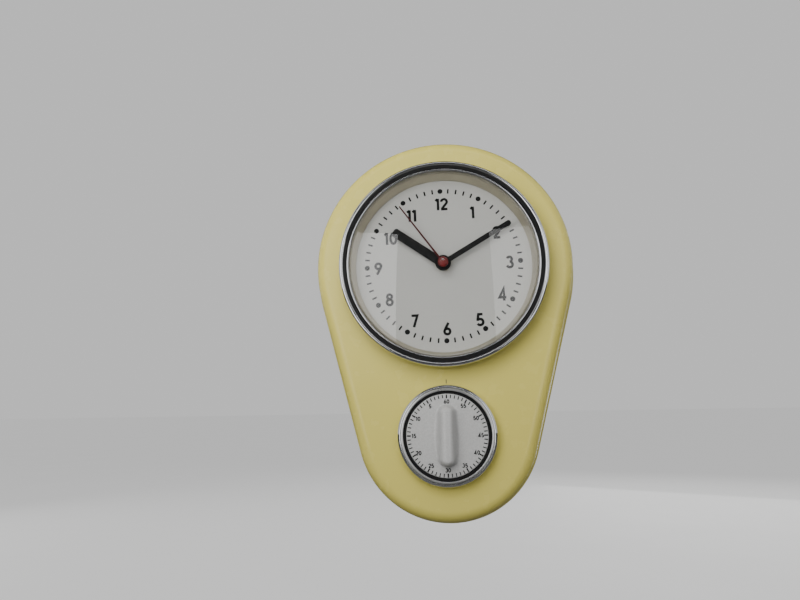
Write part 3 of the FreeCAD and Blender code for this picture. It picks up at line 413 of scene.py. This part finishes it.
LACQUER = lacquer()
CHROME = chrome()
RING = satin_metal("satin_ring", (0.58, 0.54, 0.42, 1), (0.40, 0.52), EVEN, scale=120.0, vary=0.05)
BRIGHT = satin_metal("bright_lip", (0.80, 0.80, 0.79, 1), (0.26, 0.34), EVEN, scale=120.0, vary=0.03)
STEEL = satin_metal("zinc_steel", (0.60, 0.60, 0.61, 1))
DARK_STEEL = satin_metal("blued_steel", (0.10, 0.12, 0.17, 1), (0.2, 0.32))
BRASS = satin_metal("turned_brass", (0.70, 0.50, 0.20, 1), (0.18, 0.3))
COPPER = satin_metal("enamelled_copper", (0.60, 0.22, 0.10, 1), (0.25, 0.4), WOUND, scale=60.0, vary=0.2)
BLACK_RUBBER = moulded("black_gasket", INK, (0.35, 0.5), grain=1200.0, height=0.01, shine=0.25)
HAND_BLACK = moulded("hand_black", INK, (0.45, 0.6), grain=1500.0, height=0.004, round_edge=0.08, shine=0.2)
HAND_RED = moulded("hand_red", colour(70, 14, 18), (0.4, 0.5), grain=1500.0, height=0.004, round_edge=0.08,
                   shine=0.25)
CAP_RED = moulded("cap_red", colour(120, 22, 20), (0.28, 0.4), height=0.006, round_edge=0.15)
PRINT = moulded("print_black", INK, (0.55, 0.7), grain=1500.0, height=0.002, round_edge=0.0, vary=0.2,
                shine=0.2)
KNOB_PRINT = moulded("knob_print", (0.012, 0.012, 0.013, 1), (0.5, 0.65), grain=1500.0, height=0.002,
                     round_edge=0.0, vary=0.2, shine=0.2)
INDEX = moulded("index_paint", (0.20, 0.17, 0.06, 1), (0.4, 0.5), height=0.003)
DIAL = dial_paint()
LENS = clear_lens()
COVER = moulded("cover_black", (0.045, 0.045, 0.048, 1), (0.40, 0.62), grain=520.0, height=0.06, vary=0.10)
MOVEMENT = moulded("movement_black", (0.035, 0.035, 0.038, 1), (0.3, 0.45))
ACETAL = moulded("acetal_white", (0.72, 0.70, 0.64, 1), (0.3, 0.42), height=0.01, round_edge=0.08)
BOARD = moulded("board_green", (0.02, 0.12, 0.05, 1), (0.3, 0.5), grain=500.0)
CELL = moulded("cell_sleeve", (0.05, 0.07, 0.20, 1), (0.16, 0.26), grain=300.0, height=0.006)
PAD = moulded("pad_rubber", (0.06, 0.06, 0.06, 1), (0.6, 0.75), height=0.03)
SILVER = silver_plastic()

NODE_FINISH = {
    "back_cover": COVER, "hanger_plate": STEEL, "wall_pads": PAD, "cover_screws": STEEL,
    "index_mark": INDEX, "bezel_gasket": BLACK_RUBBER, "dial_plate": DIAL,
    "hour_hand": HAND_BLACK, "minute_hand": HAND_BLACK, "minute_hub": HAND_BLACK, "second_hand": HAND_RED,
    "movement_case": MOVEMENT, "movement_cover": MOVEMENT, "threaded_bushing": BRASS, "mounting_nut": BRASS,
    "rubber_washer": BLACK_RUBBER, "circuit_board": BOARD, "quartz_crystal": STEEL, "drive_coil": COPPER,
    "stator": STEEL, "rotor": ACETAL, "intermediate_wheel": ACETAL, "seconds_wheel": ACETAL,
    "third_wheel": ACETAL, "centre_wheel": ACETAL, "cannon_pinion": ACETAL, "hour_wheel": ACETAL,
    "minute_wheel": ACETAL, "setting_knob": ACETAL, "battery_cell": CELL, "contact_positive": STEEL,
    "contact_negative": STEEL, "timer_seal": BLACK_RUBBER, "front_plate": STEEL, "back_plate": STEEL,
    "pillars": BRASS, "spacers": BRASS, "mechanism_screws": STEEL, "timer_arbor": STEEL,
    "great_wheel": BRASS, "second_wheel": BRASS, "timer_third_wheel": BRASS, "escape_wheel": BRASS,
    "balance": BRASS, "hammer": STEEL, "mainspring": DARK_STEEL, "bell": CHROME, "bell_post": STEEL,
}
for node, material in NODE_FINISH.items():
    slots = frame["nodes"][node].data.materials
    for index in range(len(slots)):
        slots[index] = material


# ---------------------------------------------------------------- case

SIDE_DRAFT = 8.5            # how far the sides lean in, degrees
DRAFT_SPANS = 7             # rows of faces up the side
EDGE_R = 7.5                # rounding between the sides and the flat face
RIM_END = 3.7               # depth where the rolled rim meets the side
FACE_LAP = 0.5              # flat strip between the rounding and the filled face
CLOCK_HOLE_R = 63.5
TIMER_HOLE_R = 28.7
# The rolled rim as (inset, depth), from its inner edge over the wall side to the foot of the side.
RIM = [(1.0, 3.0), (0.95, 0.8), (0.75, 0.25), (0.3, 0.02), (-0.35, 0.02), (-0.66, 0.25), (-0.75, 0.7),
       (-0.73, 1.2), (-0.55, 1.62), (-0.2, 1.85), (0.10, 2.1), (0.38, 2.6), (0.55, RIM_END)]


def shell_profile():
    """(inset, depth) points of the shell, from inside its rolled rim to the flat face."""
    lean = math.radians(SIDE_DRAFT)
    touch = (FACE_DEPTH - EDGE_R) + EDGE_R * math.sin(lean)
    centre = (touch * math.tan(lean) + EDGE_R * math.cos(lean), FACE_DEPTH - EDGE_R)
    side = []
    for i in range(1, DRAFT_SPANS):
        depth = RIM_END + (touch - RIM_END) * i / DRAFT_SPANS
        side.append((depth * math.tan(lean), depth))
    edge = arc(centre, EDGE_R, 180 - SIDE_DRAFT, 90, 24)
    return RIM + side + edge + [(centre[0] + FACE_LAP, FACE_DEPTH)]


def housing():
    """The lacquered shell: rolled rim, drafted side, rounded edge and flat face with two openings."""
    mesh = bmesh.new()
    rings = []
    for inset, depth in shell_profile():
        rings.append([mesh.verts.new((x, -depth, z)) for x, z in pear_ring(inset)])
    count = len(rings[0])
    for low, high in zip(rings, rings[1:]):
        for i in range(count):
            j = (i + 1) % count
            mesh.faces.new((low[i], low[j], high[j], high[i]))
    edges = [mesh.edges.get((rings[-1][i], rings[-1][(i + 1) % count])) for i in range(count)]
    for radius, height, steps in ((CLOCK_HOLE_R, 0.0, 192), (TIMER_HOLE_R, TIMER_Z, 128)):
        loop = [mesh.verts.new((x, -FACE_DEPTH, z)) for x, z in circle((0.0, height), radius, steps)]
        edges += [mesh.edges.new((loop[i], loop[(i + 1) % steps])) for i in range(steps)]
    bmesh.ops.triangle_fill(mesh, use_beauty=True, edges=edges, normal=(0, -1, 0))
    bmesh.ops.recalc_face_normals(mesh, faces=mesh.faces)
    for vert in mesh.verts:
        vert.co *= MM
    data = bpy.data.meshes.new("housing_skin")
    mesh.to_mesh(data)
    mesh.free()
    data.shade_smooth()
    data.materials.append(LACQUER)
    piece = place("housing_skin", data)
    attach(piece, "case")
    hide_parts("front_housing")


housing()


# ---------------------------------------------------------------- clock front

AXIS_R = 0.02               # turned pieces start this far from their axis, so that no face collapses
BEZEL_INNER = 65.0
BEZEL_OUTER = 68.0
BEZEL_ROLL_R = 1.45         # radius of the bezel's rolled crest
BEZEL_ROLL_DEPTH = 41.9     # and the depth of its middle
# The outer side of the bezel, which is waisted, from the crest down to its foot.
BEZEL_SIDE = [(67.85, 41.2), (67.62, 40.4), (67.5, 39.2), (67.45, 36.0), (67.5, 34.6), (67.72, 34.0),
              (67.95, 33.6), (BEZEL_OUTER, 33.1)]
LENS_R = 61.55
LENS_SEAT = 39.42           # depth of the lens's rim
LENS_RISE = 4.2             # how far it domes
LENS_SHEET = 1.55           # its thickness
RING_INNER = 58.05          # radius of the ring at the dial
RING_FLARE = 2.35           # how far it opens towards the lens
RING_RISE = 8.2
RING_BEND = 1.3             # over 1, the wall starts upright and opens later
RING_TOP = 39.4
RING_OUTER = 63.0
LIP_INNER = 61.6            # the chromed lip round the lens
LIP_OUTER = 63.08
LIP_CREST = (62.35, 41.35)
LIP_CREST_R = 0.72


def clock_bezel():
    """The chromed bezel: a rolled crest over a waisted side."""
    crest = (BEZEL_INNER + BEZEL_ROLL_R, BEZEL_ROLL_DEPTH)
    outline = [(BEZEL_INNER, FACE_DEPTH), (BEZEL_INNER, BEZEL_ROLL_DEPTH)]
    outline += arc(crest, BEZEL_ROLL_R, 180, 20, 20)
    outline += BEZEL_SIDE
    outline.append((BEZEL_OUTER, FACE_DEPTH))
    bezel = lathe("clock_bezel_roll", outline, "case", CHROME, around=320)
    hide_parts("clock_bezel")


def dial_ring():
    """The wall from the dial up to the lens, and the chromed lip round the lens."""
    steps = 8
    wall = []
    for i in range(steps + 1):
        t = i / steps
        wall.append((RING_INNER + RING_FLARE * t ** RING_BEND, DIAL_DEPTH + RING_RISE * t))
    wall += [(LENS_R, RING_TOP), (RING_OUTER, RING_TOP), (RING_OUTER, DIAL_DEPTH)]
    ring = lathe("dial_ring_wall", wall, "case", RING, around=320)
    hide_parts("dial_ring")
    lip = [(LIP_INNER, RING_TOP), (LIP_INNER, 41.5)]
    lip += arc(LIP_CREST, LIP_CREST_R, 168, 12, 12)
    lip += [(LIP_OUTER, 41.3), (LIP_OUTER, RING_TOP)]
    edge = lathe("dial_ring_lip", lip, "case", CHROME, around=320)


def clock_lens():
    """The domed lens: two parallel skins joined at the rim."""
    steps = 40
    under, over = [], []
    for i in range(steps + 1):
        radius = LENS_R * i / steps
        depth = LENS_SEAT + LENS_RISE * (1 - (radius / LENS_R) ** 2)
        under.append((max(radius, AXIS_R), depth))
        over.append((max(radius, AXIS_R), depth + LENS_SHEET))
    lens = lathe("lens_dome", over + under[::-1], "case", LENS)
    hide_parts("clock_lens")


clock_bezel()
dial_ring()
clock_lens()

DIAL_PRINT_LIFT = 0.04      # the print stands this far off the dial
DOT_CIRCLE = 50.6           # radius of the ring of dots and ticks
DOT_R = 1.72
TICK_HALF = 1.6
TICK_WIDTH = 1.1
HOUR_HEIGHT = 8.2           # height of the hour numbers
HOUR_STROKE = 0.21          # their line width, as a share of the height
HOUR_SHIFT = (0.6, -0.7)    # the numbers as a group sit a little off the axis
# Distance of each hour number from the middle, from 1 to 12: they are not quite on one circle.
HOUR_REACH = (40.7, 41.2, 42.9, 42.7, 42.9, 42.2, 41.7, 42.6, 43.8, 40.4, 40.7, 42.2)


def dial_marks():
    """The printed minute ring and hour numbers of the clock."""
    marks = Print(DIAL_DEPTH + DIAL_PRINT_LIFT, turn=PRINT_TURN)
    for minute in range(60):
        if minute % 5 == 0:
            a = math.radians(minute * 6)
            marks.disc((DOT_CIRCLE * math.sin(a), DOT_CIRCLE * math.cos(a)), DOT_R)
        else:
            marks.tick(minute * 6, DOT_CIRCLE - TICK_HALF, DOT_CIRCLE + TICK_HALF, TICK_WIDTH)
    for hour, reach in enumerate(HOUR_REACH, 1):
        a = math.radians(30 * hour)
        middle = (HOUR_SHIFT[0] + reach * math.sin(a), HOUR_SHIFT[1] + reach * math.cos(a))
        marks.number(str(hour), middle, HOUR_HEIGHT, HOUR_STROKE)
    marks.finish("dial_numbers", "case", PRINT)


dial_marks()

CAP_BASE = 38.25
CAP_R = 3.35
CAP_ROUND = 0.8             # rounding of the cap's shoulder


def second_cap():
    """The red cap over the hands: a short cylinder with a rounded shoulder and a low dome."""
    outline = [(AXIS_R, CAP_BASE), (3.3, CAP_BASE), (CAP_R, 38.6), (CAP_R, 39.1)]
    outline += arc((CAP_R - CAP_ROUND, 39.2), CAP_ROUND, 0, 80, 8)
    outline += [(1.8, 40.18), (0.9, 40.3), (AXIS_R, 40.34)]
    cap = lathe("second_cap_dome", outline, "second_train", CAP_RED, around=96)
    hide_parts("second_cap")


second_cap()


# ---------------------------------------------------------------- timer front

TIMER_BEZEL_R = 31.1
# The timer bezel's band: its inner edge under the lip, its crest, its slope and its side.
TIMER_BAND = [(28.9, FACE_DEPTH), (28.9, 37.6), (29.1, 37.7), (29.1, 38.3), (29.22, 38.4), (29.34, 38.72),
              (29.45, 38.77), (29.9, 38.5), (30.3, 38.25), (30.65, 38.0), (30.85, 37.8), (31.0, 37.45),
              (31.08, 36.8), (TIMER_BEZEL_R, 35.6), (TIMER_BEZEL_R, FACE_DEPTH)]
TIMER_LIP_INNER = 27.5      # the bright lip inside the band
TIMER_LIP_OUTER = 29.04
TIMER_LIP_FOOT = 37.7
TIMER_LIP_SHOULDER = 38.75
TIMER_LIP_R = 0.55          # rounding of its inner edge


def timer_bezel():
    """The chromed band round the timer dial and the bright rolled lip inside it."""
    bezel = lathe("timer_bezel_roll", TIMER_BAND, "case", CHROME, z=TIMER_Z, around=224)
    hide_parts("timer_bezel")
    rounding = (TIMER_LIP_INNER + TIMER_LIP_R, TIMER_LIP_SHOULDER)
    lip = [(TIMER_LIP_INNER, TIMER_LIP_FOOT), (TIMER_LIP_INNER, TIMER_LIP_SHOULDER)]
    lip += arc(rounding, TIMER_LIP_R, 180, 90, 8)
    lip += [(28.5, 39.27), (28.82, 39.14), (28.98, 38.85), (TIMER_LIP_OUTER, 38.4)]
    lip.append((TIMER_LIP_OUTER, TIMER_LIP_FOOT))
    ring = lathe("timer_bezel_lip", lip, "case", BRIGHT, z=TIMER_Z, around=224)


timer_bezel()

GRIP_TOP = 8.9              # height of the ridge over the dial
RIDGE_HALF = 17.8           # half length of the ridge
RIDGE_R = 4.0               # half width of the ridge, and the radius of its ends
RIDGE_DROP = 0.27           # how much of the height the rounded ridge loses to its edge
RIDGE_POWER = 3.2           # the larger it is, the flatter the ridge is along its middle
FLANK_POWER = 3             # the larger it is, the more hollow the flanks are
FOOT_MID = 9.0              # half width of the grip's foot at the middle
FOOT_END = 6.2              # and towards its ends
END_RUN = 1.6               # how far the ends slope out


def grip_height(x, y):
    """Height of the grip over the dial at (x, y): a round-topped ridge on concave flanks."""
    past = max(0.0, abs(y) - (RIDGE_HALF - RIDGE_R))
    away = math.hypot(x, past)
    if away <= RIDGE_R:
        return GRIP_TOP * (1.0 - RIDGE_DROP * (away / RIDGE_R) ** RIDGE_POWER)
    along = min(1.0, abs(y) / (RIDGE_HALF + END_RUN))
    foot = FOOT_END + (FOOT_MID - FOOT_END) * math.cos(along * math.pi / 2) - RIDGE_R
    run = math.hypot(foot * abs(x) / away, END_RUN * past / away)
    out = (away - RIDGE_R) / run
    if out >= 1.0:
        return 0.0
    return GRIP_TOP * (1.0 - RIDGE_DROP) * (1.0 - out) ** FLANK_POWER


KNOB_R = 25.5               # radius of the timer dial
KNOB_LIP = 0.6              # width of its rounded edge
KNOB_LIP_DROP = 0.45        # and how far that falls
KNOB_SIDE = 36.0            # a depth halfway down its side
KNOB_BACK = 33.4            # depth of its back
KNOB_BORE_R = 2.1           # hole in the back for the arbor


def timer_dial():
    """The rotary dial: a disc whose face rises into the grip, with its side and its back."""
    ring_count, around = 120, 288
    verts = [(0.0, -(KNOB_DEPTH + grip_height(0, 0)), TIMER_Z)]
    for k in range(1, ring_count + 1):
        radius = KNOB_R * (k / ring_count)
        past = max(0.0, radius - (KNOB_R - KNOB_LIP)) / KNOB_LIP
        for x, y in circle((0.0, 0.0), radius, around):
            height = grip_height(x, y) - KNOB_LIP_DROP * past ** 2
            verts.append((x, -(KNOB_DEPTH + height), TIMER_Z + y))
    for radius, depth in ((KNOB_R, KNOB_SIDE), (KNOB_R, KNOB_BACK), (KNOB_BORE_R, KNOB_BACK)):
        verts += [(x, -depth, z) for x, z in circle((0.0, TIMER_Z), radius, around)]
    faces = [(0, 1 + i, 1 + (i + 1) % around) for i in range(around)]
    for k in range(ring_count + 2):
        inner = 1 + k * around
        outer = inner + around
        for i in range(around):
            j = (i + 1) % around
            faces.append((inner + i, outer + i, outer + j, inner + j))
    dial = add_mesh("timer_dial_face", verts, faces, "timer_knob", SILVER)
    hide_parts("timer_dial")


timer_dial()

KNOB_PRINT_LIFT = 0.05      # the print stands this far off the timer dial
MARK_OUTER = 25.0           # where the minute marks end
SHORT_MARK = (22.8, 0.68)   # inner radius and width of a minute's mark
LONG_MARK = (22.6, 0.92)    # and of a five minutes' mark
MINUTE_CIRCLE = 20.7        # radius of the minute numbers
MINUTE_HEIGHT = 2.5         # their height
MINUTE_STROKE = 0.25        # their line width, as a share of the height
MINUTE_GAP = 0.13           # and the gap between two digits


def timer_marks():
    """The printed minute marks and numbers of the timer, which run anticlockwise."""
    marks = Print(KNOB_DEPTH + KNOB_PRINT_LIFT, z=TIMER_Z)
    for minute in range(60):
        inner, width = LONG_MARK if minute % 5 == 0 else SHORT_MARK
        marks.tick(-minute * 6, inner, MARK_OUTER, width)
    for value in range(5, 65, 5):
        a = math.radians(-value * 6)
        middle = (MINUTE_CIRCLE * math.sin(a), MINUTE_CIRCLE * math.cos(a))
        marks.number(str(value), middle, MINUTE_HEIGHT, MINUTE_STROKE, MINUTE_GAP)
    marks.finish("timer_numbers", "timer_knob", KNOB_PRINT)


timer_marks()


# ---------------------------------------------------------------- stage, light, camera

# Lengths from here on are in metres.
WHITE = (1.0, 1.0, 1.0)
FRONT_GLOW = 0.04           # world strength in front, above and below
SIDE_GLOW = 0.5             # to the left and right
SIDE_FADE = (0.42, 0.75)    # sideways part of a direction between which the side glow comes up
BACK_GLOW = 0.06            # behind the clock
BACK_FADE = (0.05, 0.55)    # backward part of a direction between which the back glow comes up
BACKGROUND = 0.66           # what the camera sees behind the clock
FLOOR_Z = -0.30
FLOOR_HALF = 30.0           # half the floor's width
FLOOR_LIFT = 0.56           # brings the far floor up to the background
FLOOR_SHOWN = (0.22, 0.22, 0.217, 1)        # the floor's colour to the camera
FLOOR_BOUNCE = (0.10, 0.10, 0.097, 1)       # and the dimmer one in the light that it throws back


def stage():
    """A wide pale floor, which throws less light back than it shows."""
    half = FLOOR_HALF
    corners = [(x, y, FLOOR_Z) for x, y in ((-half, -half), (half, -half), (half, half), (-half, half))]
    mesh = bpy.data.meshes.new("floor")
    mesh.from_pydata(corners, [], [(0, 1, 2, 3)])
    floor = place("floor", mesh)
    finish = Finish("pale_floor").tint(FLOOR_SHOWN, 0.012, 3.0).gloss(0.6, 0.75, 5.0)
    finish.set(Emission_Color=(*WHITE, 1.0), Emission_Strength=FLOOR_LIFT)
    dim = finish.node("ShaderNodeBsdfDiffuse")
    dim.inputs["Color"].default_value = FLOOR_BOUNCE
    finish.choose("Is Camera Ray", dim.outputs["BSDF"], finish.shader.outputs["BSDF"])
    mesh.materials.append(finish.material)


def world():
    """Dim room with bright sides, so that the chrome mirrors dark above and below and white at the sides."""
    room = bpy.data.worlds.new("studio")
    bpy.context.scene.world = room
    room.use_nodes = True
    nodes, links = room.node_tree.nodes, room.node_tree.links
    background = nodes["Background"]
    coords = nodes.new("ShaderNodeTexCoord")
    split = nodes.new("ShaderNodeSeparateXYZ")
    links.new(coords.outputs["Generated"], split.inputs["Vector"])

    def math_node(operation, *values):
        node = nodes.new("ShaderNodeMath")
        node.operation = operation
        for slot, value in enumerate(values):
            links.new(value, node.inputs[slot])
        return node.outputs["Value"]

    def spread(value, fade, low, high):
        node = nodes.new("ShaderNodeMapRange")
        node.interpolation_type = "SMOOTHSTEP"
        limits = {"From Min": fade[0], "From Max": fade[1], "To Min": low, "To Max": high}
        for name, number in limits.items():
            node.inputs[name].default_value = number
        links.new(value, node.inputs["Value"])
        return node.outputs["Result"]

    sides = spread(math_node("ABSOLUTE", split.outputs["X"]), SIDE_FADE, FRONT_GLOW, SIDE_GLOW)
    behind = spread(split.outputs["Y"], BACK_FADE, 0.0, BACK_GLOW)
    path = nodes.new("ShaderNodeLightPath")
    pick = nodes.new("ShaderNodeMix")
    pick.data_type = "FLOAT"
    links.new(path.outputs["Is Camera Ray"], pick.inputs["Factor"])
    links.new(math_node("ADD", sides, behind), pick.inputs["A"])
    pick.inputs["B"].default_value = BACKGROUND
    background.inputs["Color"].default_value = (*WHITE, 1.0)
    links.new(pick.outputs["Result"], background.inputs["Strength"])


def panel(name, at, towards, size, watts, tint=WHITE, mirrored=True):
    """A soft rectangular lamp, which shiny surfaces and the lens mirror only if mirrored is set."""
    light = bpy.data.lights.new(name, "AREA")
    light.shape = "RECTANGLE"
    light.size, light.size_y = size
    light.energy = watts
    light.color = tint
    lamp = place(name, light)
    lamp.rotation_mode = "QUATERNION"
    lamp.rotation_quaternion = (Vector(towards) - Vector(at)).to_track_quat("-Z", "Y")
    lamp.location = at
    lamp.visible_camera = False
    lamp.visible_glossy = mirrored
    lamp.visible_transmission = mirrored


def lights():
    """Softboxes at both sides, a soft key and fill in front, a strip above, and lamps round the back."""
    panel("softbox_left", at=(-0.575, -1.05, 0.085), towards=(0, 0, -0.02), size=(0.62, 0.74), watts=3.3)
    panel("softbox_right", at=(0.53, -1.05, 0.085), towards=(0, 0, -0.02), size=(0.60, 0.74), watts=2.2)
    panel("key_front", at=(-0.10, -0.30, 0.09), towards=(0, 0, 0.02), size=(0.30, 0.30), watts=0.94,
          tint=(1.0, 0.985, 0.955), mirrored=False)
    panel("fill_above", at=(-0.10, -0.45, 0.45), towards=(0, 0, 0), size=(0.60, 0.40), watts=0.8,
          mirrored=False)
    panel("strip_above", at=(0.0, -0.75, 0.70), towards=(0, 0, 0), size=(1.20, 0.14), watts=1.4)
    for name, x in (("side_fill_left", -1.1), ("side_fill_right", 1.1)):
        panel(name, at=(x, 0.55, 0.3), towards=(0, 0, -0.05), size=(0.8, 0.8), watts=6.0, mirrored=False)
    panel("back_low", at=(0.65, 1.10, -0.15), towards=(0, 0, -0.03), size=(0.95, 0.28), watts=0.9)
    panel("back_fill", at=(0.5, 1.2, 0.6), towards=(0, 0, -0.05), size=(0.9, 0.9), watts=16.0,
          mirrored=False)


SENSOR_MM = 36.0
LENS_MM = 27.7947
SHIFT_X = -0.01534          # shifts of the picture, as a share of its width
SHIFT_Y = -0.0117
CAMERA_AT = (0.00793, -0.430, -0.0934)
CAMERA_YAW = 4.13           # degrees to the left of straight ahead
CAMERA_PITCH = 10.82        # degrees upwards
CAMERA_ROLL = -0.87


def camera():
    """The camera: level with the lower part of the clock, looking slightly up."""
    data = bpy.data.cameras.new("camera")
    data.sensor_fit = "HORIZONTAL"
    data.sensor_width = SENSOR_MM
    data.lens = LENS_MM
    data.shift_x = SHIFT_X
    data.shift_y = SHIFT_Y
    data.clip_start = 0.01
    data.clip_end = 30.0
    yaw = math.radians(CAMERA_YAW)
    pitch = math.radians(CAMERA_PITCH)
    roll = math.radians(CAMERA_ROLL)
    right = Vector((math.cos(yaw), math.sin(yaw), 0))
    level = Vector((-math.sin(yaw), math.cos(yaw), 0))
    ahead = level * math.cos(pitch) + Vector((0, 0, 1)) * math.sin(pitch)
    up = -level * math.sin(pitch) + Vector((0, 0, 1)) * math.cos(pitch)
    across = right * math.cos(roll) + up * math.sin(roll)
    upright = up * math.cos(roll) - right * math.sin(roll)
    turn = Matrix((across, upright, -ahead)).transposed()
    rig = place("camera", data)
    rig.matrix_world = Matrix.Translation(CAMERA_AT) @ turn.to_4x4()
    bpy.context.scene.camera = rig


stage()
world()
lights()
camera()
